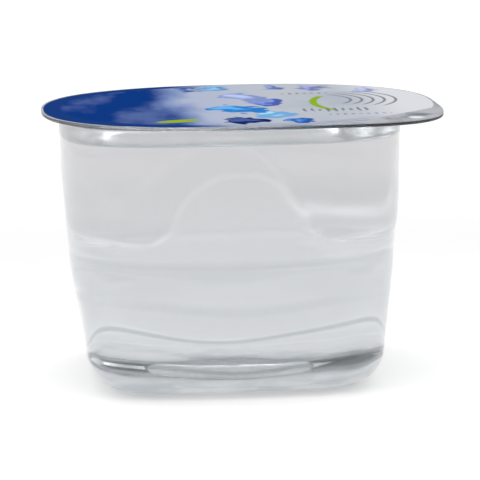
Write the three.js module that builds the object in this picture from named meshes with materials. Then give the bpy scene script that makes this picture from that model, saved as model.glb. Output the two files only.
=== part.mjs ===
// A sealed cup of drinking water, of the kind served with a tray meal: a clear
// rounded-square cup formed from plastic sheet, the water in it, and a foil lid
// welded to the cup's rim. The lid and the rim share one outline, whose front
// right corner is squarer and slightly bent down: that corner is the pull tab.
// The cup stands on its base at z = 0 and its front faces -Y. The origin is
// under the middle of the lid. All sizes are in millimetres.

import * as THREE from "three";
import { mergeVertices } from "three/addons/utils/BufferGeometryUtils.js";

// How finely the outlines are cut
const SEGMENTS = 64;
const FILLET_STEPS = 5;

// Lid and rim outline: a power of 2 would be a circle, more is squarer
const HEIGHT = 53.6;
const RIM_HALF = 38.8;
const RIM_POWER = 2.35;
const TAB_POWER = 4.1;
const FOIL = 0.3;
const RIM_THICKNESS = 0.7;
const GAP = 0.3;

// Pull tab: the fold line's distance from the middle, its direction, its fall
const FOLD_DISTANCE = 37.6;
const FOLD_ANGLE = THREE.MathUtils.degToRad(-39.5);
const TAB_SLOPE = 0.012;

// Cup body: the rim reaches further on the tab's side, so the body is off centre
const BODY_SHIFT = -2.15;
const WALL = 0.7;
const FOOT_HALF = 27.8;
const WAIST_HALF = 32.05;
const WAIST_HEIGHT = 25;
const COLLAR_HALF = 33.1;
const COLLAR_HEIGHT = 43;
const THROAT_HALF = 33.3;
const THROAT_HEIGHT = 51.5;
const BASE_POWER = 6.4;
const WAIST_POWER = 3.05;
const MOUTH_POWER = 3.4;

// Base: a flat foot ring round a middle that is pushed up a little
const BASE_FILLET = 8.2;
const FOOT_WIDTH = 3.4;
const PUSH_UP = 1.5;
const PUSH_UP_SLOPE = 2.5;

// Each side has an arched panel with flared feet. Above the shoulder the wall
// outside the arches stands proud, and it fades out towards the collar.
const ARCH_RADIUS = 12;
const ARCH_BASE = 31;
const ARCH_EDGE = 1.8;
const ARCH_FLARE = 3.5;
const FLARE_BOTTOM = 29.5;
const FLARE_TOP = 34;
const STEP = 0.4;
const STEP_BOTTOM = 29;
const STEP_TOP = 32.2;
const STEP_FADE = 36;

// The base's rounded edge is lower at the middle of each side than at the corners,
// and the wall's lines droop there up to the shoulder
const DROOP = 2.3;
const DROOP_START = 0.5;
const DROOP_FADE = 18;

// Water
const WATER_LEVEL = 49.4;

const FLANGE_TOP = HEIGHT - FOIL - GAP;
const FLANGE_BOTTOM = FLANGE_TOP - RIM_THICKNESS;

const { lerp, smoothstep } = THREE.MathUtils;

// A point on a rounded-square outline
function roundedSquare(angle, half, power) {
  const along = Math.abs(Math.cos(angle)) ** power;
  const across = Math.abs(Math.sin(angle)) ** power;
  const reach = half * (along + across) ** (-1 / power);
  return new THREE.Vector2(reach * Math.cos(angle), reach * Math.sin(angle));
}

// The outline that the rim and the foil are cut to, squarer in the tab's quarter
function rimPoint(angle) {
  const inTabQuarter = Math.cos(angle) > 0 && Math.sin(angle) < 0;
  return roundedSquare(angle, RIM_HALF, inTabQuarter ? TAB_POWER : RIM_POWER);
}

// How far the tab has come down at a point of the rim or foil
function tabDrop(point) {
  const outward = point.x * Math.cos(FOLD_ANGLE) + point.y * Math.sin(FOLD_ANGLE);
  return TAB_SLOPE * Math.max(0, outward - FOLD_DISTANCE);
}

// Half-width of the cup's outside at a height, in three tapers
function wallHalf(z) {
  if (z < WAIST_HEIGHT) {
    return lerp(FOOT_HALF, WAIST_HALF, z / WAIST_HEIGHT);
  }
  if (z < COLLAR_HEIGHT) {
    return lerp(WAIST_HALF, COLLAR_HALF, (z - WAIST_HEIGHT) / (COLLAR_HEIGHT - WAIST_HEIGHT));
  }
  return lerp(COLLAR_HALF, THROAT_HALF, (z - COLLAR_HEIGHT) / (THROAT_HEIGHT - COLLAR_HEIGHT));
}

// How square the cup's outline is at a height
function wallPower(z) {
  if (z < WAIST_HEIGHT) {
    return lerp(BASE_POWER, WAIST_POWER, z / WAIST_HEIGHT);
  }
  return lerp(WAIST_POWER, MOUTH_POWER, (z - WAIST_HEIGHT) / (THROAT_HEIGHT - WAIST_HEIGHT));
}

// How far the wall stands proud at a point: nothing inside an arch or below the step
function proud(point, z) {
  const radius = ARCH_RADIUS + ARCH_FLARE * (1 - smoothstep(z, FLARE_BOTTOM, FLARE_TOP));
  const sideways = Math.min(Math.abs(point.x), Math.abs(point.y));
  const fromArch = Math.hypot(sideways, Math.max(0, z - ARCH_BASE)) - radius;
  const outsideArch = smoothstep(fromArch, 0, ARCH_EDGE);
  const aboveStep = smoothstep(z, STEP_BOTTOM, STEP_TOP);
  const belowCollar = 1 - smoothstep(z, STEP_FADE, COLLAR_HEIGHT);
  return STEP * outsideArch * aboveStep * belowCollar;
}

// How far the wall at a height droops at the middle of a side
function droop(z) {
  const below = 1 - smoothstep(z, DROOP_FADE, STEP_BOTTOM);
  return DROOP * smoothstep(z, DROOP_START, BASE_FILLET) * below;
}

// A row is one closed ring of points. Its spread is 0 on the cup's wall and 1 on
// the rim's outline, and its sag is how far it droops at the middle of a side.
function rowPoint(row, angle) {
  const point = roundedSquare(angle, row.half, row.power);
  if (row.half > 0) {
    point.setLength(point.length() + proud(point, row.z));
  }
  point.x += BODY_SHIFT;
  point.lerp(rimPoint(angle), row.spread);
  const sag = row.sag * (1 + Math.cos(4 * angle)) / 2;
  return new THREE.Vector3(point.x, point.y, row.z - tabDrop(point) - sag);
}

// A turned body whose rows are then pushed out to their own outlines. Rows run
// from the axis up the outside, and back to the axis.
function bodyOf(rows) {
  const profile = rows.map((row) => new THREE.Vector2(row.half, row.z));
  const turned = new THREE.LatheGeometry(profile, SEGMENTS);
  const position = turned.attributes.position;
  for (let i = 0; i < position.count; i++) {
    const row = rows[i % rows.length];
    const step = Math.floor(i / rows.length) % SEGMENTS;
    const angle = (step / SEGMENTS) * 2 * Math.PI - Math.PI / 2;
    position.setXYZ(i, ...rowPoint(row, angle));
  }
  turned.deleteAttribute("uv");
  turned.deleteAttribute("normal");
  const merged = mergeVertices(turned);
  merged.computeVertexNormals();
  return merged;
}

function wallRow(z, inset) {
  return { half: wallHalf(z) - inset, z, power: wallPower(z), spread: 0, sag: droop(z) };
}

// The base of a skin that lies the given distance inside the cup's outside
function baseRows(inset) {
  const footOuter = wallHalf(BASE_FILLET) - BASE_FILLET;
  const footInner = footOuter - FOOT_WIDTH;
  const flat = (half, z) => ({ half, z: z + inset, power: BASE_POWER, spread: 0, sag: 0 });
  const rows = [flat(0, PUSH_UP), flat(footInner - PUSH_UP_SLOPE, PUSH_UP), flat(footInner, 0)];
  for (let i = 0; i < FILLET_STEPS; i++) {
    const turn = (i / FILLET_STEPS) * (Math.PI / 2);
    const radius = BASE_FILLET - inset;
    const half = footOuter + radius * Math.sin(turn);
    const z = BASE_FILLET - radius * Math.cos(turn);
    rows.push({ half, z, power: wallPower(z), spread: 0, sag: droop(z) });
  }
  return rows;
}

// The wall of that skin, up to a height
function wallRows(inset, top) {
  const taper = [BASE_FILLET, 12, 18, 22, WAIST_HEIGHT, STEP_BOTTOM, STEP_TOP];
  const arch = [34.2, STEP_FADE, 39, 41.2, COLLAR_HEIGHT];
  return [...taper, ...arch, top].map((z) => wallRow(z, inset));
}

// A ring of the flat rim, from the wall out to the rim's outline
function rimRow(z, inset, spread) {
  return { half: THROAT_HALF - inset, z, power: MOUTH_POWER, spread, sag: 0 };
}

function cup() {
  const outside = [...baseRows(0), ...wallRows(0, THROAT_HEIGHT)];
  const inside = [...baseRows(WALL), ...wallRows(WALL, THROAT_HEIGHT)].reverse();
  const under = [0.15, 0.5, 1].map((spread) => rimRow(FLANGE_BOTTOM, 0, spread));
  const over = [1, 0.5, 0].map((spread) => rimRow(FLANGE_TOP, WALL, spread));
  const material = new THREE.MeshStandardMaterial({
    color: 0xf2f5f6, roughness: 0.08, metalness: 0, transparent: true, opacity: 0.3,
  });
  return named("cup", bodyOf([...outside, ...under, ...over, ...inside]), material);
}

function water() {
  const inset = WALL + GAP;
  const surface = { half: 0, z: WATER_LEVEL, power: MOUTH_POWER, spread: 0, sag: 0 };
  const rows = [...baseRows(inset), ...wallRows(inset, WATER_LEVEL), surface];
  const material = new THREE.MeshStandardMaterial({
    color: 0xe4ebee, roughness: 0.02, metalness: 0, transparent: true, opacity: 0.4,
  });
  return named("water", bodyOf(rows), material);
}

function lid() {
  const face = (z) => [
    { ...rimRow(z, 0, 0), half: 0 },
    ...[0, 0.5, 1].map((spread) => rimRow(z, WALL, spread)),
  ];
  const rows = [...face(HEIGHT - FOIL), ...face(HEIGHT).reverse()];
  const material = new THREE.MeshStandardMaterial({
    color: 0xb9c3d6, roughness: 0.3, metalness: 0.4,
  });
  return named("lid", bodyOf(rows), material);
}

function named(name, geometry, material) {
  const mesh = new THREE.Mesh(geometry, material);
  mesh.name = name;
  return mesh;
}

const sealedCup = new THREE.Group();
sealedCup.add(cup(), water(), lid());

export default sealedCup;
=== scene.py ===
import math

import bmesh
import bpy
from mathutils import Matrix, Vector


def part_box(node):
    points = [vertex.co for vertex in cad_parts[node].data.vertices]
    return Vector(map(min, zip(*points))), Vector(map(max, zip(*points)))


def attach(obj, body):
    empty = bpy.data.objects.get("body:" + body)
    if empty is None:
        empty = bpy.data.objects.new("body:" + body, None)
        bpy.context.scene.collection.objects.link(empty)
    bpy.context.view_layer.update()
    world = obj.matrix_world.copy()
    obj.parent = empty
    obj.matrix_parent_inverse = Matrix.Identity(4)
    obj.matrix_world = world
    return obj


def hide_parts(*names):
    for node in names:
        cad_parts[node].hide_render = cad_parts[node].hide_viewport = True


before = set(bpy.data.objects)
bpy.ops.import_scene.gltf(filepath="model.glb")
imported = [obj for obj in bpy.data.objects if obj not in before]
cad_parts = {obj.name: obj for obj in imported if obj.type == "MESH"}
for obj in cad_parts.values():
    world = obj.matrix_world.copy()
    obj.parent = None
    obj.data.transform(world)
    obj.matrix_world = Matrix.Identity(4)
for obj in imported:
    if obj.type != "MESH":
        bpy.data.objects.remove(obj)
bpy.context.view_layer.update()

# A sealed cup of drinking water. The cup's front faces -Y, its pull tab is at the
# front right corner, and sizes are in metres unless a comment says otherwise.


# The cup: clear plastic sheet, drawn down hot into a rounded-square mould, so the
# wall, the base and the flat rim are one skin of nearly even thickness. An arched
# panel on each side and two faint beads stiffen it.
mm = 0.001
sheet = 0.5 * mm
around, row_spacing = 240, 0.55 * mm
merge_distance = 2e-6

# The rim, cut out together with the lid. The power of an outline is 2 for a circle
# and more for a squarer shape, and the tab's quarter is squarer than the rest.
rim_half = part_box("cup")[1].x
rim_top = 53.42 * mm
rim_thickness = 0.6 * mm
rim_power, tab_power = 2.35, 4.1
rim_spreads = (0.15, 0.3, 0.5, 0.7, 0.85, 0.95)
cut_rounding, cut_rows = 0.22 * mm, 6
throat_bend, bend_rows = 0.4 * mm, 5
fold_distance, fold_angle, tab_slope = 37.6 * mm, math.radians(-39.5), 0.012

# The wall, in three tapers with soft joins. The body is a little off the rim's middle.
body_shift = -2.15 * mm
foot_half = 27.8 * mm
waist_half, waist_height = 32.05 * mm, 25 * mm
collar_half, collar_height = 33.1 * mm, 43 * mm
throat_half = 33.3 * mm
base_power, waist_power, mouth_power = 6.4, 3.05, 3.4
join_softness = 1.2 * mm
beads = ((26.8 * mm, 0.14 * mm, 0.7 * mm), (20.4 * mm, 0.1 * mm, 0.7 * mm))
unevenness, flow_scale = 0.02 * mm, 110.0
even_from, even_to = 44 * mm, 50 * mm

# The step above the waist, and the arched panels with flared feet that it leaves free
step, step_bottom, step_top, step_fade = 0.3 * mm, 29.2 * mm, 31.8 * mm, 36 * mm
arch_radius, arch_base, arch_edge = 12.0 * mm, 31 * mm, 1.8 * mm
arch_flare, flare_bottom, flare_top = 3.5 * mm, 29.5 * mm, 34 * mm

# The base: a flat foot ring round a middle that is pushed up, and a rounded edge
# that droops at the middle of each side
base_fillet = 8.2 * mm
foot_width = 3.4 * mm
push_up, push_up_slope = 1.5 * mm, 2.5 * mm
base_ripple, ripple_scale = 0.1 * mm, 380.0
droop, droop_start, droop_fade = 2.3 * mm, 0.5 * mm, 18 * mm
middle_rows, slope_rows, fillet_rows = 20, 8, 16


def between(low, high, share):
    return low + (high - low) * share


def eased(value, low, high):
    """A soft step of a value from 0 at the low level to 1 at the high one."""
    share = min(1, max(0, (value - low) / (high - low)))
    return share * share * (3 - 2 * share)


def quarter_turn(count):
    return [math.pi / 2 * i / count for i in range(count + 1)]


def swell(z, centre, depth, width):
    """A rounded bead of the given depth at a height."""
    return depth * math.exp(-(((z - centre) / width) ** 2))


def straight_half(z):
    if z < waist_height:
        return between(foot_half, waist_half, z / waist_height)
    if z < collar_height:
        share = (z - waist_height) / (collar_height - waist_height)
        return between(waist_half, collar_half, share)
    share = (z - collar_height) / (rim_top - collar_height)
    return between(collar_half, throat_half, share)


def wall_half(z):
    """Half-width of the cup's outside at a height: its tapers with soft joins, and beads."""
    nearby = [z + join_softness * (i - 2) / 2 for i in range(5)]
    mean = sum(straight_half(height) for height in nearby) / len(nearby)
    return mean - sum(swell(z, *bead) for bead in beads)


def droop_at(z):
    """How far the wall at a height droops at the middle of a side."""
    return droop * eased(z, droop_start, base_fillet) * (1 - eased(z, droop_fade, step_bottom))


def row(half, z, spread=0.0, margin=0.0, proud=0.0, uneven=0.0, ripple=0.0, sag=0.0):
    """One ring of a skin: the half-width and height of the wall's outline, how far the
    ring has spread from there to the rim's outline, its margin inside that outline, how
    proud it stands outside the arches, how uneven its wall and its base are, and how far
    it droops at the middle of each side."""
    if z < waist_height:
        power = between(base_power, waist_power, max(0, z) / waist_height)
    else:
        share = (z - waist_height) / (rim_top - waist_height)
        power = between(waist_power, mouth_power, share)
    arch = arch_radius + arch_flare * (1 - eased(z, flare_bottom, flare_top))
    return {
        "half": half, "height": z, "power": power, "spread": spread, "margin": margin,
        "proud": proud, "arch": arch, "uneven": uneven, "ripple": ripple, "sag": sag,
        "outer": 1.0,
    }


def wall_row(z, inset):
    rise = eased(z, step_bottom, step_top) * (1 - eased(z, step_fade, collar_height))
    uneven = unevenness * (1 - eased(z, even_from, even_to))
    return row(wall_half(z) - inset, z, proud=step * rise, uneven=uneven, sag=droop_at(z))


def base_rows(inset):
    """The underside of a skin that lies inset from the cup's outside, from the axis out."""
    foot_outer = wall_half(base_fillet) - base_fillet
    foot_inner = foot_outer - foot_width
    centre_edge = foot_inner - push_up_slope
    rows = []
    for i in range(middle_rows):
        rows.append(row(centre_edge * i / middle_rows, push_up + inset, ripple=base_ripple))
    for i in range(slope_rows + 1):
        share = i / slope_rows
        fall = 1 - eased(share, 0, 1)
        half = between(centre_edge, foot_inner, share)
        rows.append(row(half, push_up * fall + inset, ripple=base_ripple * fall))
    rows.append(row(between(foot_inner, foot_outer, 0.5), inset))
    radius = base_fillet - inset
    for turn in quarter_turn(fillet_rows):
        half = foot_outer + radius * math.sin(turn)
        z = base_fillet - radius * math.cos(turn)
        rows.append(row(half, z, sag=droop_at(z)))
    return rows


def wall_rows(inset, top):
    count = round((top - base_fillet) / row_spacing)
    heights = [between(base_fillet, top, i / count) for i in range(1, count + 1)]
    return [wall_row(z, inset) for z in heights]


def cup_rows():
    """The outside from the axis out and up, round the rim's edge, and back down inside."""
    under = rim_top - rim_thickness
    rows = base_rows(0) + wall_rows(0, under - throat_bend)
    for turn in quarter_turn(bend_rows)[1:]:
        half = throat_half + throat_bend * (1 - math.cos(turn))
        rows.append(row(half, under - throat_bend * (1 - math.sin(turn))))
    rows += [row(throat_half, under, spread=s) for s in rim_spreads]
    for i in range(cut_rows + 1):
        turn = math.pi * i / cut_rows
        margin = cut_rounding * (1 - math.sin(turn))
        z = rim_top - rim_thickness / 2 - rim_thickness / 2 * math.cos(turn)
        rows.append(row(throat_half, z, spread=1, margin=margin))
    rows += [row(throat_half, rim_top, spread=s) for s in reversed(rim_spreads)]
    bend = throat_bend + sheet
    for turn in quarter_turn(bend_rows):
        half = throat_half - sheet + bend * (1 - math.sin(turn))
        rows.append(row(half, rim_top - bend * (1 - math.cos(turn))))
    inside = base_rows(sheet) + wall_rows(sheet, rim_top - bend)[:-1]
    return rows + [{**r, "outer": 0.0} for r in reversed(inside)]


def add(tree, kind, inputs=(), **settings):
    """Adds a node, sets its properties, then feeds its inputs with values or sockets."""
    made = tree.nodes.new(kind)
    for key, value in settings.items():
        setattr(made, key, value)
    for key, value in dict(inputs).items():
        if isinstance(value, bpy.types.NodeSocket):
            tree.links.new(value, made.inputs[key])
        else:
            made.inputs[key].default_value = value
    return made


def maths(tree, operation, *values):
    return add(tree, "ShaderNodeMath", dict(enumerate(values)), operation=operation).outputs[0]


def product(tree, first, *others):
    for other in others:
        first = maths(tree, "MULTIPLY", first, other)
    return first


def apart(tree, value, level):
    """How far a value is from a level, either way."""
    return maths(tree, "ABSOLUTE", maths(tree, "SUBTRACT", value, level))


def hypotenuse(tree, *sides):
    squares = [maths(tree, "POWER", side, 2.0) for side in sides]
    return maths(tree, "SQRT", maths(tree, "ADD", *squares))


def ramp(tree, value, low, high, start=0.0, end=1.0):
    """A soft step of a value from one level to another."""
    feeds = {"Value": value, "From Min": low, "From Max": high, "To Min": start, "To Max": end}
    made = add(tree, "ShaderNodeMapRange", feeds, interpolation_type="SMOOTHSTEP")
    return made.outputs["Result"]


def texture(tree, place, scale, detail=2.0, roughness=0.5):
    feeds = {"Vector": place, "Scale": scale, "Detail": detail, "Roughness": roughness}
    return add(tree, "ShaderNodeTexNoise", feeds).outputs[0]


def rounded_square(tree, direction, half, power):
    """X and Y of a rounded-square outline in a direction, given as its cosine and sine."""
    sides = [maths(tree, "POWER", maths(tree, "ABSOLUTE", part), power) for part in direction]
    root = maths(tree, "DIVIDE", -1.0, power)
    reach = product(tree, half, maths(tree, "POWER", maths(tree, "ADD", *sides), root))
    return [product(tree, reach, part) for part in direction]


def skin_tree():
    """Nodes that carry a profile of rows round the cup's outline and close it."""
    tree = bpy.data.node_groups.new("formed_skin", "GeometryNodeTree")
    sockets = tree.interface
    sockets.new_socket("Geometry", in_out="INPUT", socket_type="NodeSocketGeometry")
    sockets.new_socket("Geometry", in_out="OUTPUT", socket_type="NodeSocketGeometry")
    sockets.new_socket("Steps Around", in_out="INPUT", socket_type="NodeSocketInt")
    floats = ("Body Shift", "Rim Half", "Rim Power", "Tab Power", "Arch Base", "Arch Edge",
              "Fold Distance", "Fold Angle", "Tab Slope", "Flow Scale", "Ripple Scale")
    for name in floats:
        sockets.new_socket(name, in_out="INPUT", socket_type="NodeSocketFloat")
    sockets.new_socket("Material", in_out="INPUT", socket_type="NodeSocketMaterial")
    given = add(tree, "NodeGroupInput").outputs

    # A grid of points: for each row of the profile, one line of them all the way round
    profile, steps = given["Geometry"], given["Steps Around"]
    size = add(tree, "GeometryNodeAttributeDomainSize", {"Geometry": profile}, component="MESH")
    columns = maths(tree, "ADD", steps, 1.0)
    counts = {"Vertices X": size.outputs["Point Count"], "Vertices Y": columns}
    grid = add(tree, "GeometryNodeMeshGrid", counts)
    index = add(tree, "GeometryNodeInputIndex").outputs[0]
    level = maths(tree, "FLOOR", maths(tree, "DIVIDE", maths(tree, "ADD", index, 0.5), columns))
    column = maths(tree, "FLOORED_MODULO", index, columns)
    share = maths(tree, "DIVIDE", maths(tree, "FLOORED_MODULO", column, steps), steps)
    angle = maths(tree, "MULTIPLY_ADD", share, 2 * math.pi, -math.pi / 2)
    direction = maths(tree, "COSINE", angle), maths(tree, "SINE", angle)
    cosine, sine = direction

    def read(name):
        named = add(tree, "GeometryNodeInputNamedAttribute", {"Name": name}, data_type="FLOAT")
        feeds = {"Geometry": profile, "Value": named.outputs["Attribute"], "Index": level}
        sample = add(tree, "GeometryNodeSampleIndex", feeds, data_type="FLOAT", domain="POINT")
        return sample.outputs["Value"]

    half, height, power = read("half"), read("height"), read("power")
    spread, margin, proud, arch = read("spread"), read("margin"), read("proud"), read("arch")
    uneven, ripple, sag = read("uneven"), read("ripple"), read("sag")

    # The wall's outline, standing proud outside the arches and slightly uneven
    x, y = rounded_square(tree, direction, half, power)
    sideways = maths(tree, "MINIMUM", maths(tree, "ABSOLUTE", x), maths(tree, "ABSOLUTE", y))
    above = maths(tree, "MAXIMUM", maths(tree, "SUBTRACT", height, given["Arch Base"]), 0.0)
    from_arch = maths(tree, "SUBTRACT", hypotenuse(tree, sideways, above), arch)
    outside = ramp(tree, from_arch, 0.0, given["Arch Edge"])
    spot = add(tree, "ShaderNodeCombineXYZ", {"X": x, "Y": y, "Z": height}).outputs[0]
    flow = maths(tree, "SUBTRACT", texture(tree, spot, given["Flow Scale"], 1.0), 0.5)
    raised = product(tree, outside, proud)
    lift = maths(tree, "MULTIPLY_ADD", flow, product(tree, uneven, 2.0), raised)
    wall_x = maths(tree, "ADD", maths(tree, "MULTIPLY_ADD", lift, cosine, x), given["Body Shift"])
    wall_y = maths(tree, "MULTIPLY_ADD", lift, sine, y)

    # The rim's outline, squarer in the tab's quarter
    to_the_right = maths(tree, "GREATER_THAN", cosine, 0.0)
    to_the_front = maths(tree, "LESS_THAN", sine, 0.0)
    extra = maths(tree, "SUBTRACT", given["Tab Power"], given["Rim Power"])
    in_tab = product(tree, to_the_right, to_the_front)
    rim_shape = maths(tree, "MULTIPLY_ADD", in_tab, extra, given["Rim Power"])
    reach = maths(tree, "SUBTRACT", given["Rim Half"], margin)
    rim_x, rim_y = rounded_square(tree, direction, reach, rim_shape)

    def blend(wall, rim):
        return maths(tree, "MULTIPLY_ADD", spread, maths(tree, "SUBTRACT", rim, wall), wall)

    # The height: down past the tab's fold, drooping in the middle of a side, and rippled
    at_x, at_y = blend(wall_x, rim_x), blend(wall_y, rim_y)
    out_x = product(tree, at_x, maths(tree, "COSINE", given["Fold Angle"]))
    out_y = product(tree, at_y, maths(tree, "SINE", given["Fold Angle"]))
    outward = maths(tree, "ADD", out_x, out_y)
    past = maths(tree, "MAXIMUM", maths(tree, "SUBTRACT", outward, given["Fold Distance"]), 0.0)
    four_sides = maths(tree, "COSINE", product(tree, angle, 4.0))
    midway = maths(tree, "MULTIPLY_ADD", four_sides, 0.5, 0.5)
    low = maths(tree, "MULTIPLY_ADD", sag, midway, product(tree, past, given["Tab Slope"]))
    grain = maths(tree, "SUBTRACT", texture(tree, spot, given["Ripple Scale"], 2.0), 0.5)
    rough = product(tree, grain, product(tree, ripple, 2.0))
    at_z = maths(tree, "ADD", maths(tree, "SUBTRACT", height, low), rough)
    place = add(tree, "ShaderNodeCombineXYZ", {"X": at_x, "Y": at_y, "Z": at_z}).outputs[0]

    # Each point keeps the height that it was drawn at and whether it is on the outside
    source = {"Geometry": grid.outputs["Mesh"]}
    captured = add(tree, "GeometryNodeCaptureAttribute", source, domain="POINT")
    kept = {"drawn_height": height, "outer_skin": read("outer")}
    for name, value in kept.items():
        captured.capture_items.new("FLOAT", name)
        tree.links.new(value, captured.inputs[name])
    feeds = {"Geometry": captured.outputs[0], "Position": place}
    made = add(tree, "GeometryNodeSetPosition", feeds).outputs[0]
    feeds = {"Geometry": made, "Distance": merge_distance}
    made = add(tree, "GeometryNodeMergeByDistance", feeds).outputs[0]
    for name in kept:
        feeds = {"Geometry": made, "Name": name, "Value": captured.outputs[name]}
        stored = add(tree, "GeometryNodeStoreNamedAttribute", feeds, data_type="FLOAT", domain="POINT")
        made = stored.outputs[0]
    made = add(tree, "GeometryNodeSetShadeSmooth", {"Geometry": made}).outputs[0]
    made = add(tree, "GeometryNodeRealizeInstances", {"Geometry": made}).outputs[0]
    feeds = {"Geometry": made, "Material": given["Material"]}
    made = add(tree, "GeometryNodeSetMaterial", feeds).outputs[0]
    add(tree, "NodeGroupOutput", {"Geometry": made})
    return tree


formed_skin = skin_tree()


def formed(name, rows, material):
    """A closed skin through the rows, as a plain mesh object."""
    profile = bpy.data.meshes.new(name + "_profile")
    profile.from_pydata([(r["half"], 0, r["height"]) for r in rows], [], [])
    for field in rows[0]:
        layer = profile.attributes.new(field, "FLOAT", "POINT")
        layer.data.foreach_set("value", [r[field] for r in rows])
    carrier = bpy.data.objects.new(name, profile)
    bpy.context.scene.collection.objects.link(carrier)
    skin = carrier.modifiers.new("skin", "NODES")
    skin.node_group = formed_skin
    values = {
        "Steps Around": around, "Body Shift": body_shift, "Rim Half": rim_half,
        "Rim Power": rim_power, "Tab Power": tab_power, "Arch Base": arch_base,
        "Arch Edge": arch_edge, "Fold Distance": fold_distance, "Fold Angle": fold_angle,
        "Tab Slope": tab_slope, "Flow Scale": flow_scale, "Ripple Scale": ripple_scale,
        "Material": material,
    }
    for item in formed_skin.interface.items_tree:
        if item.in_out == "INPUT" and item.name in values:
            skin[item.identifier] = values[item.name]
    evaluated = carrier.evaluated_get(bpy.context.evaluated_depsgraph_get())
    plain = bpy.data.meshes.new_from_object(evaluated)
    plain.name = name
    carrier.modifiers.remove(skin)
    carrier.data = plain
    bpy.data.meshes.remove(profile)
    shell = bmesh.new()
    shell.from_mesh(plain)
    bmesh.ops.recalc_face_normals(shell, faces=shell.faces)
    shell.to_mesh(plain)
    shell.free()
    return carrier


def fresh_material(name):
    material = bpy.data.materials.new(name)
    material.use_nodes = True
    return material, material.node_tree, material.node_tree.nodes["Principled BSDF"]


def laid_over(tree, under, over, mask):
    """One colour over another, as far as the mask lets it show."""
    made = add(tree, "ShaderNodeMix", data_type="RGBA")
    first_colour, second_colour, mixed = made.inputs[6], made.inputs[7], made.outputs[2]
    for socket, value in ((made.inputs["Factor"], mask), (first_colour, under), (second_colour, over)):
        if isinstance(value, bpy.types.NodeSocket):
            tree.links.new(value, socket)
        else:
            socket.default_value = value
    return mixed


def facing_up(tree):
    """1 on a flat top, 0 on an upright wall and -1 on an underside."""
    normal = add(tree, "ShaderNodeNewGeometry").outputs["Normal"]
    return add(tree, "ShaderNodeSeparateXYZ", {"Vector": normal}).outputs["Z"]


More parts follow.
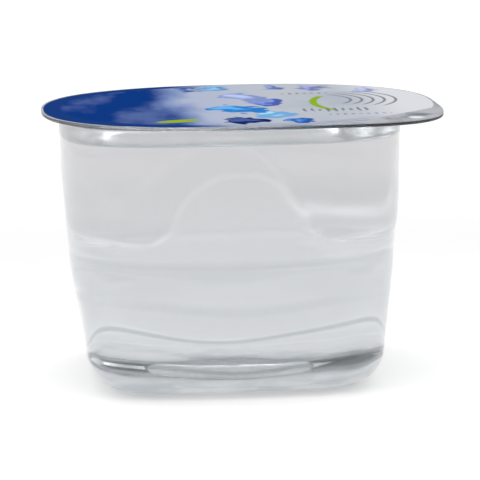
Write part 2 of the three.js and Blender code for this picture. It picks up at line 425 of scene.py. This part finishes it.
def clear_plastic():
    """Clear plastic. Its tints are painted shade and painted light, and lie in the outer skin
    only, so that light meets each of them once on its way in and once on its way out."""
    material, tree, surface = fresh_material("clear_cup_plastic")
    surface.inputs["Transmission Weight"].default_value = 1
    surface.inputs["IOR"].default_value = 1.5
    place = add(tree, "ShaderNodeTexCoord").outputs["Object"]
    x, y, height = add(tree, "ShaderNodeSeparateXYZ", {"Vector": place}).outputs
    drawn_height = add(tree, "ShaderNodeAttribute", attribute_name="drawn_height").outputs["Fac"]
    outer_skin = add(tree, "ShaderNodeAttribute", attribute_name="outer_skin").outputs["Fac"]

    def up(low, high, start=0.0, end=1.0):
        """A soft step between two heights in millimetres."""
        return ramp(tree, height, low * mm, high * mm, start, end)

    def line_at(level, faint, full):
        """A line round the cup: its height and its two half-widths in millimetres."""
        return ramp(tree, apart(tree, drawn_height, level * mm), faint * mm, full * mm)

    # The rim's cut edge, and streaky haze in the base, tinted with painted shade
    upright = maths(tree, "LESS_THAN", maths(tree, "ABSOLUTE", facing_up(tree)), 0.7)
    edge_bottom = rim_top - rim_thickness - 0.15 * mm
    cut_edge = product(tree, upright, maths(tree, "GREATER_THAN", height, edge_bottom))
    flat = add(tree, "ShaderNodeMapping", {"Vector": place, "Scale": (0.5, 0.5, 3)}).outputs[0]
    streaks = texture(tree, flat, 260.0, 4.0, 0.6)
    base_haze_and_painted_shade = product(tree, up(6, 1.5), ramp(tree, streaks, 0.4, 0.6))

    # A dark line of painted shade above the base's edge, and two faint lines of painted shade further
    # up
    from_middle = apart(tree, x, body_shift)
    painted_shade_line = product(tree, line_at(7.5, 0.7, 0.15), ramp(tree, from_middle, 25 * mm, 21 * mm))
    faint_shade_lines = maths(tree, "MAXIMUM", line_at(26.8, 0.9, 0.2), line_at(19.4, 1.2, 0.2))

    # The arched panel and its rim, paler with painted light, and the step's shelf outside it, with
    # painted shade
    sideways = maths(tree, "MINIMUM", from_middle, maths(tree, "ABSOLUTE", y))
    above_arch = maths(tree, "MAXIMUM", maths(tree, "SUBTRACT", height, arch_base), 0.0)
    radius = ramp(tree, height, flare_bottom, flare_top, arch_radius + arch_flare, arch_radius)
    from_arch = maths(tree, "SUBTRACT", hypotenuse(tree, sideways, above_arch), radius)
    inside_arch = ramp(tree, from_arch, 1.2 * mm, -0.4 * mm)
    outside_arch = ramp(tree, from_arch, 0.2 * mm, 2.2 * mm)
    along_arch = ramp(tree, apart(tree, from_arch, 0.9 * mm), 0.9 * mm, 0.3 * mm)
    panel_painted_light = product(tree, inside_arch, up(46, 34), up(28, 32))
    arch_rim_painted_light = product(tree, along_arch, up(31, 35), up(45.5, 43.5))
    shelf_painted_shade = product(tree, up(30.2, 31.4), up(36.5, 33.5), outside_arch)

    # Tints of painted shade: the body darker from its foot towards its collar, then the painted light
    # and shade of each part of it in turn
    low_painted_shade, high_painted_shade = (0.67, 0.685, 0.705, 1), (0.638, 0.634, 0.645, 1)
    colour = laid_over(tree, low_painted_shade, high_painted_shade, ramp(tree, drawn_height, 24 * mm, 44 * mm))
    above_water_less_shade = up(49.2, 49.8)
    # Paler with painted light above the water, in the panel and on its rim; darker with painted shade
    # on the faint lines, the shelf, the base's streaks and the line above the base
    tints = (
        (above_water_less_shade, (0.715, 0.715, 0.72, 1)),
        (faint_shade_lines, (0.6, 0.625, 0.64, 1)),
        (panel_painted_light, (0.668, 0.67, 0.684, 1)),
        (shelf_painted_shade, (0.605, 0.61, 0.625, 1)),
        (arch_rim_painted_light, (0.688, 0.685, 0.698, 1)),
        (base_haze_and_painted_shade, (0.4, 0.46, 0.51, 1)),
        (painted_shade_line, (0.34, 0.39, 0.4, 1)),
    )
    for mask, tint in tints:
        colour = laid_over(tree, colour, tint, mask)
    inner_tint = (0.99, 0.99, 0.99, 1)
    colour = laid_over(tree, inner_tint, colour, outer_skin)
    # The cut edge's painted light and shade: pale on the left, dark on the right
    lit_edge_paint, shaded_edge_paint = (0.8, 0.82, 0.86, 1), (0.12, 0.2, 0.3, 1)
    painted_edge_light_and_shade = laid_over(tree, lit_edge_paint, shaded_edge_paint, ramp(tree, x, -14 * mm, 12 * mm))
    colour = laid_over(tree, colour, painted_edge_light_and_shade, cut_edge)
    tree.links.new(colour, surface.inputs["Base Color"])

    # Blur: a trace of haze all over, more where the step was stretched, at the neck and
    # in the base, and most on the cut edge
    drawn = add(tree, "ShaderNodeMapping", {"Vector": place, "Scale": (1, 1, 0.35)}).outputs[0]
    blur = ramp(tree, texture(tree, drawn, 90.0), 0.3, 0.7, 0.0, 0.03)
    stretched = product(tree, up(28, 32), up(46, 42), outer_skin)
    blur = maths(tree, "MULTIPLY_ADD", stretched, 0.1, blur)
    blur = maths(tree, "ADD", up(48.5, 50, 0.0, 0.12), blur)
    blur = maths(tree, "ADD", product(tree, up(7, 4, 0.0, 0.14), outer_skin), blur)
    blur = maths(tree, "MULTIPLY_ADD", base_haze_and_painted_shade, 0.08, blur)
    blur = maths(tree, "MULTIPLY_ADD", cut_edge, 0.4, blur)
    tree.links.new(blur, surface.inputs["Roughness"])
    return material


cup = formed("cup_shell", cup_rows(), clear_plastic())
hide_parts("cup")
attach(cup, "root")


# The water: still drinking water, up to the line that the photo shows. It wets the
# plastic all over, so it reaches just into the wall, and climbs it a little at the
# surface.
water_level = 49.0 * mm
wetting = 0.1 * mm
creep, creep_width, creep_rows = 0.5 * mm, 2.2 * mm, 14
creep_reach = creep_width * 3


def water_rows():
    """The wet side from the axis out and up, then the surface back in to the axis."""
    inset = sheet - wetting
    rows = base_rows(inset) + wall_rows(inset, water_level + creep)
    edge = wall_half(water_level) - inset
    for i in range(1, creep_rows + 1):
        away = creep_reach * (i / creep_rows) ** 1.5
        rows.append(row(edge - away, water_level + creep * math.exp(-away / creep_width * 2)))
    rows += [row((edge - creep_reach) * share, water_level) for share in (0.8, 0.6, 0.4, 0.2, 0)]
    return rows


def clear_water():
    material, tree, surface = fresh_material("drinking_water")
    surface.inputs["Transmission Weight"].default_value = 1
    surface.inputs["IOR"].default_value = 1.333
    surface.inputs["Roughness"].default_value = 0
    place = add(tree, "ShaderNodeTexCoord").outputs["Object"]
    clearest, clear = (0.985, 0.99, 0.995, 1), (0.975, 0.985, 0.99, 1)
    colour = laid_over(tree, clearest, clear, texture(tree, place, 30.0, 1.0))

    # Where the water climbs the wall, painted shade makes a grey line
    height = add(tree, "ShaderNodeSeparateXYZ", {"Vector": place}).outputs["Z"]
    meniscus_painted_shade = ramp(tree, height, water_level + 0.12 * mm, water_level + 0.35 * mm)
    colour = laid_over(tree, colour, (0.5, 0.56, 0.6, 1), meniscus_painted_shade)
    tree.links.new(colour, surface.inputs["Base Color"])
    return material


water = formed("drinking_water", water_rows(), clear_water())
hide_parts("water")
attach(water, "root")


# The lid: thin aluminium foil, printed on top and lacquered white underneath, welded
# to the rim by a hot ring that leaves its mark, and cut out together with the rim.
# The corner past the weld is the bare pull tab. The print is plain shapes of colour.
foil_thickness = 0.12 * mm
foil_bottom = rim_top + 0.01 * mm
weld_depth, weld_start, weld_end, weld_edge = 0.05 * mm, 0.12, 0.8, 0.1
disc_rows, ring_rows = 24, 20


def lid_rows():
    def face(base, depth):
        """One face, from the axis out, with the weld pressed into it by a depth."""
        rows = [row(throat_half * i / disc_rows, base) for i in range(disc_rows)]
        for i in range(ring_rows + 1):
            spread = i / ring_rows
            before_end = 1 - eased(spread, weld_end, weld_end + weld_edge)
            pressed = eased(spread, weld_start, weld_start + weld_edge) * before_end
            rows.append(row(throat_half, base - depth * pressed, spread=spread))
        return rows

    top = face(foil_bottom + foil_thickness, weld_depth)
    return face(foil_bottom, 0.0) + top[::-1]


def srgb(red, green, blue):
    """A colour given as it looks on screen, 0 to 255, in the shader's linear scale."""
    shares = [c / 255 for c in (red, green, blue)]
    return tuple(c / 12.92 if c < 0.04045 else ((c + 0.055) / 1.055) ** 2.4 for c in shares) + (1,)


def length_of(tree, vector):
    return add(tree, "ShaderNodeVectorMath", {0: vector}, operation="LENGTH").outputs["Value"]


def printed_foil():
    """The foil's print, bare metal and lacquer. All sizes in here are in millimetres."""
    material, tree, surface = fresh_material("printed_foil")
    place = add(tree, "ShaderNodeTexCoord").outputs["Object"]
    in_mm = add(tree, "ShaderNodeMapping", {"Vector": place, "Scale": (1000, 1000, 1000)}).outputs[0]
    axes = add(tree, "ShaderNodeSeparateXYZ", {"Vector": in_mm}).outputs
    x, y = axes["X"], axes["Y"]
    facing = facing_up(tree)

    def noise(scale, stretch=(1, 1, 1), detail=2.0):
        moved = add(tree, "ShaderNodeMapping", {"Vector": in_mm, "Scale": stretch}).outputs[0]
        return texture(tree, moved, scale, detail)

    def seen_from(centre, turn, size=(1, 1, 1), ground=in_mm):
        """Places as measured from a centre, along turned axes and in units of a size."""
        feeds = {"Vector": ground, "Location": (*centre, 0), "Scale": size,
                 "Rotation": (0, 0, math.radians(turn))}
        return add(tree, "ShaderNodeMapping", feeds, vector_type="TEXTURE").outputs[0]

    def spot(centre, size, turn=0.0, soft=0.12, ground=in_mm):
        """An oval of the given half-sizes, turned in the lid's plane."""
        any_height = 1e4
        measured = seen_from(centre, turn, (*size, any_height), ground)
        return ramp(tree, length_of(tree, measured), 1 + soft, 1 - soft)

    def ripples(centre, inner, outer, pitch, turn, opening, thickness):
        """Parts of rings round a centre, within an opening angle."""
        measured = seen_from(centre, turn)
        level = add(tree, "ShaderNodeVectorMath", {0: measured, 1: (1, 1, 0)}, operation="MULTIPLY")
        reach = length_of(tree, level.outputs[0])
        parts = add(tree, "ShaderNodeSeparateXYZ", {"Vector": measured}).outputs
        bearing = maths(tree, "ABSOLUTE", maths(tree, "ARCTAN2", parts["Y"], parts["X"]))
        phase = maths(tree, "PINGPONG", maths(tree, "SUBTRACT", reach, inner), pitch / 2)
        line = ramp(tree, phase, thickness / 2 + 0.25, thickness / 2 - 0.25)
        past_inner = maths(tree, "GREATER_THAN", reach, inner - pitch / 2)
        before_outer = maths(tree, "LESS_THAN", reach, outer + pitch / 2)
        within = ramp(tree, bearing, math.radians(opening), math.radians(opening * 0.8))
        return product(tree, past_inner, before_outer, within, line)

    def ticks(centre, half_width, half_height):
        """A row of short upright strokes of uneven length."""
        pitch = 1.5
        parts = add(tree, "ShaderNodeSeparateXYZ", {"Vector": seen_from(centre, 0.0)}).outputs
        stroke = ramp(tree, maths(tree, "PINGPONG", parts["X"], pitch / 2), 0.45, 0.15)
        share = ramp(tree, noise(0.9, (1, 0.1, 1)), 0.35, 0.65, 0.3, 1.0)
        reach = product(tree, share, half_height)
        tall = maths(tree, "LESS_THAN", maths(tree, "ABSOLUTE", parts["Y"]), reach)
        wide = maths(tree, "LESS_THAN", maths(tree, "ABSOLUTE", parts["X"]), half_width)
        return product(tree, tall, wide, stroke)

    def printed(under, shade, mask):
        return laid_over(tree, under, srgb(*shade), mask)

    # How far out a point is, on the lid's own outline
    powered = [maths(tree, "POWER", maths(tree, "ABSOLUTE", v), rim_power) for v in (x, y)]
    outline = maths(tree, "POWER", maths(tree, "ADD", *powered), 1 / rim_power)

    # The pale ground, bluer beside the blue field and paler at the far right
    patches = product(tree, ramp(tree, noise(0.05, (1, 0.6, 1)), 0.5, 0.75), 0.5)
    colour = printed(srgb(176, 186, 212), (192, 197, 206), ramp(tree, x, -14, 12))
    colour = printed(colour, (160, 168, 188), patches)
    colour = printed(colour, (222, 224, 229), ramp(tree, x, 20, 33))

    # The blue field on the left, with a wavy edge and paler drifts
    wave = product(tree, maths(tree, "SUBTRACT", noise(0.09, (1, 0.3, 1), 4.0), 0.5), 22.0)
    shore = maths(tree, "ADD", maths(tree, "MULTIPLY_ADD", y, 0.07, x), wave)
    drifts = ramp(tree, noise(0.1, (1, 0.35, 1), 3.0), 0.42, 0.68)
    field = printed(srgb(16, 58, 132), (84, 104, 162), drifts)
    colour = printed(colour, (124, 144, 192), ramp(tree, shore, -5.0, -14.0))
    colour = laid_over(tree, colour, field, ramp(tree, shore, -11.0, -20.0))

    # A darker border along the left edge, and fine lines along the near right one
    border = product(tree, ramp(tree, outline, 34.2, 35.4), ramp(tree, x, 0.0, -14.0))
    colour = printed(colour, (28, 62, 130), border)
    front = ramp(tree, y, -4.0, -14.0)
    along = product(tree, ramp(tree, x, -8.0, 2.0), ramp(tree, x, 29.0, 20.0))
    for level, share in ((37.2, 0.9), (35.7, 0.6), (34.4, 0.35)):
        fine = product(tree, along, ramp(tree, apart(tree, outline, level), 0.5, 0.15))
        colour = printed(colour, (112, 130, 164), product(tree, fine, product(tree, front, share)))

    # A splash of rounded shapes down the middle, and blurred ones along the far edge, all
    # on a stirred ground. Each has its centre, half-sizes, turn, shade and softness, and
    # a shine towards its upper left.
    swirl = add(tree, "ShaderNodeTexNoise", {"Vector": in_mm, "Scale": 0.2, "Detail": 2.0})
    feeds = {0: swirl.outputs["Color"], 1: (0.5, 0.5, 0.5)}
    nudge = add(tree, "ShaderNodeVectorMath", feeds, operation="SUBTRACT").outputs[0]
    feeds = {0: nudge, 1: (9, 16, 0), 2: in_mm}
    stirred = add(tree, "ShaderNodeVectorMath", feeds, operation="MULTIPLY_ADD").outputs[0]
    drops = (
        ((2.5, 12), (3.6, 10), 12, (134, 150, 202), 0.15),
        ((6.5, 1), (2.6, 7.5), -12, (78, 100, 176), 0.15),
        ((-1.0, -9), (4.4, 7.0), 35, (48, 128, 204), 0.12),
        ((5.5, -19), (3.4, 6.5), 0, (116, 172, 224), 0.12),
        ((-0.5, -29), (3.4, 6.0), 0, (18, 40, 104), 0.12),
        ((8.5, -31), (2.0, 3.4), 0, (34, 92, 176), 0.12),
        ((-8, 29), (2.0, 4.0), 0, (44, 74, 146), 0.4),
        ((-2.5, 31), (2.8, 3.6), 0, (84, 146, 200), 0.4),
        ((10, 30), (1.6, 4.0), 0, (92, 116, 182), 0.5),
        ((18, 28), (2.2, 4.5), 0, (118, 128, 182), 0.5),
        ((28, 22), (1.8, 3.5), 0, (140, 152, 200), 0.5),
    )
    shine_shift, shine_size, shine_lift, shine_softness = 0.3, 0.5, 60, 0.6
    for centre, size, turn, shade, soft in drops:
        shine = [min(255, c + shine_lift) for c in shade]
        shine_centre = (centre[0] - size[0] * shine_shift, centre[1] + size[1] * shine_shift)
        shine_sizes = (size[0] * shine_size, size[1] * shine_size)
        lit = spot(shine_centre, shine_sizes, turn, shine_softness, stirred)
        body = printed(srgb(*shade), shine, lit)
        colour = laid_over(tree, colour, body, spot(centre, size, turn, soft, stirred))

    # A green oval and stripe, grey ripples and rows of grey ticks
    stripe = ripples((47, -2), inner=32, outer=32, pitch=3, turn=180, opening=26, thickness=1.5)
    rings = ripples((9, 4), inner=14.0, outer=23.0, pitch=2.25, turn=5, opening=42, thickness=0.55)
    colour = printed(colour, (150, 180, 40), spot((-13, -27), (4.4, 2.2), 20, 0.2))
    colour = printed(colour, (142, 178, 44), stripe)
    colour = printed(colour, (128, 130, 136), rings)
    tick_rows = (
        (ticks((15, 17), 5.5, 1.4), 0.7),
        (ticks((18, -14), 7.0, 3.4), 0.8),
        (ticks((22, -22), 6.0, 1.2), 0.6),
    )
    for mask, share in tick_rows:
        colour = printed(colour, (112, 118, 126), product(tree, mask, share))

    # Where the print ends: past the tab's fold, at the cut edge and underneath
    out_x = product(tree, x, math.cos(fold_angle))
    out_y = product(tree, y, math.sin(fold_angle))
    fold = fold_distance / mm
    past_fold = ramp(tree, maths(tree, "ADD", out_x, out_y), fold - 0.15, fold + 0.15)
    cut_edge = ramp(tree, outline, 38.3, 38.5)
    bare = maths(tree, "MAXIMUM", past_fold, cut_edge)
    bare = maths(tree, "MAXIMUM", bare, ramp(tree, facing, 0.6, 0.4))

    # Scuffed metal, with a spot of painted shade and a painted highlight on the tab, and white lacquer
    # underneath
    scuffs = ramp(tree, noise(0.22, (1, 0.5, 1), 3.0), 0.45, 0.7)
    unprinted = printed(srgb(176, 178, 184), (124, 131, 142), scuffs)
    unprinted = printed(unprinted, (96, 104, 116), spot((32.8, -25), (2.2, 1.8), 0, 0.5))
    unprinted = printed(unprinted, (232, 236, 240), spot((31.6, -29.5), (1.5, 1.6), 0, 0.4))
    lacquer = printed(srgb(250, 250, 250), (242, 244, 246), noise(0.2))
    unprinted = laid_over(tree, unprinted, lacquer, ramp(tree, facing, -0.4, -0.6))
    colour = laid_over(tree, colour, unprinted, bare)
    metal = product(tree, bare, ramp(tree, facing, -0.6, -0.4, 0.0, 0.35))
    gloss = ramp(tree, noise(0.35, (1, 1, 1), 3.0), 0.3, 0.7, 0.24, 0.36)
    tree.links.new(colour, surface.inputs["Base Color"])
    tree.links.new(metal, surface.inputs["Metallic"])
    tree.links.new(gloss, surface.inputs["Roughness"])
    surface.inputs["Specular IOR Level"].default_value = 0.0

    # The foil cockles slightly
    crinkles = product(tree, noise(0.8), 0.12)
    cockle = maths(tree, "ADD", noise(0.12, (1, 1, 1), 1.0), crinkles)
    bump = add(tree, "ShaderNodeBump", {"Height": cockle, "Strength": 0.3, "Distance": 0.2 * mm})
    tree.links.new(bump.outputs[0], surface.inputs["Normal"])
    return material


lid = formed("foil_lid", lid_rows(), printed_foil())
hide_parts("lid")
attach(lid, "root")


# The studio: a pale floor that runs far back and glows under and behind the cup, so
# that it is as white as the backdrop, a bright ceiling that falls off towards the
# horizon, and a soft strip light on each side.
floor_reach = 3.0
corners = [(-floor_reach, -floor_reach, 0), (floor_reach, -floor_reach, 0),
           (floor_reach, floor_reach, 0), (-floor_reach, floor_reach, 0)]
floor_mesh = bpy.data.meshes.new("floor")
floor_mesh.from_pydata(corners, [], [(0, 1, 2, 3)])
floor = bpy.data.objects.new("floor", floor_mesh)
bpy.context.scene.collection.objects.link(floor)
floor_material, floor_tree, floor_surface = fresh_material("pale_floor")
floor_surface.inputs["Base Color"].default_value = (0.9, 0.9, 0.9, 1)
floor_surface.inputs["Roughness"].default_value = 0.9
floor_surface.inputs["Specular IOR Level"].default_value = 0.1
floor_surface.inputs["Emission Color"].default_value = (1, 1, 1, 1)

# The glow, by depth and by distance from the middle. The brightest part is hidden
# under the cup, and lights the water from below.
floor_place = add(floor_tree, "ShaderNodeTexCoord").outputs["Object"]
depth = add(floor_tree, "ShaderNodeSeparateXYZ", {"Vector": floor_place}).outputs["Y"]
distance = length_of(floor_tree, floor_place)
base_middle = {0: floor_place, 1: (-2 * mm, 4 * mm, 0)}
from_base = add(floor_tree, "ShaderNodeVectorMath", base_middle, operation="DISTANCE").outputs["Value"]
glow = ramp(floor_tree, depth, 0.0, -60 * mm, 0.09, 0.21)
pools = (
    (depth, 320 * mm, 800 * mm, 0.25),
    (depth, 130 * mm, 240 * mm, 0.06),
    (distance, 200 * mm, 40 * mm, 0.1),
    (distance, 110 * mm, 45 * mm, 0.2),
    (from_base, 23 * mm, 17 * mm, 3.2),
)
for measure, dark_at, bright_at, brightness in pools:
    pool = ramp(floor_tree, measure, dark_at, bright_at, 0.0, brightness)
    glow = maths(floor_tree, "ADD", glow, pool)
floor_tree.links.new(glow, floor_surface.inputs["Emission Strength"])
floor_mesh.materials.append(floor_material)

# The surroundings: brighter behind the cup than in front, brightest above, and plain
# white where the camera sees them
world = bpy.data.worlds.new("studio")
bpy.context.scene.world = world
world.use_nodes = True
sky = world.node_tree
ahead = add(sky, "ShaderNodeTexCoord").outputs["Generated"]
towards = add(sky, "ShaderNodeSeparateXYZ", {"Vector": ahead}).outputs
backdrop = ramp(sky, towards["Y"], -0.9, 0.9, 0.4, 1.0)
ceiling = ramp(sky, towards["Z"], 0.45, 0.85, 0.0, 1.1)
dome = maths(sky, "MAXIMUM", backdrop, ceiling)
seen = add(sky, "ShaderNodeLightPath").outputs["Is Camera Ray"]
strength = maths(sky, "MAXIMUM", dome, seen)
background = sky.nodes["Background"]
background.inputs["Color"].default_value = (1, 1, 1, 1)
sky.links.new(strength, background.inputs["Strength"])

strip_size, strip_power = (0.06, 0.4), 0.5
cup_middle = Vector((0, 0, 0.03))


def strip_light(name, place):
    """A soft area light that faces the cup."""
    data = bpy.data.lights.new(name, "AREA")
    data.shape = "RECTANGLE"
    data.size, data.size_y = strip_size
    data.energy = strip_power
    lamp = bpy.data.objects.new(name, data)
    bpy.context.scene.collection.objects.link(lamp)
    lamp.location = place
    lamp.rotation_euler = (cup_middle - lamp.location).to_track_quat("-Z", "Y").to_euler()


strip_light("left_strip", Vector((-0.55, -0.1, 0.3)))
strip_light("right_strip", Vector((0.6, 0.0, 0.3)))
bpy.context.scene.view_settings.view_transform = "Standard"
bpy.context.scene.cycles.transmission_bounces = 32
bpy.context.scene.cycles.max_bounces = 32


# The camera: nearly level with the cup, a little left of square on, with a long lens
# and a slight lean to the right.
camera_azimuth, camera_elevation, camera_lean = -4.165, 9.24, 1.0
focal_pixels, picture_pixels, sensor = 2570, 480, 36
camera_distance = 514 * mm
aim = Vector((0.06 * mm, 0, 26.23 * mm))
across, tilt, lean = (math.radians(a) for a in (camera_azimuth, camera_elevation, camera_lean))
back = Vector((math.sin(across) * math.cos(tilt), -math.cos(across) * math.cos(tilt), math.sin(tilt)))
right = Vector((math.cos(across), math.sin(across), 0))
up = back.cross(right)
picture_right = right * math.cos(lean) - up * math.sin(lean)
picture_up = right * math.sin(lean) + up * math.cos(lean)
camera_data = bpy.data.cameras.new("camera")
camera_data.sensor_width = sensor
camera_data.lens = focal_pixels * sensor / picture_pixels
camera_data.clip_start, camera_data.clip_end = 0.01, 20
camera = bpy.data.objects.new("camera", camera_data)
bpy.context.scene.collection.objects.link(camera)
turned = Matrix((picture_right, picture_up, back)).transposed()
camera.matrix_world = Matrix.Translation(aim + back * camera_distance) @ turned.to_4x4()
bpy.context.scene.camera = camera
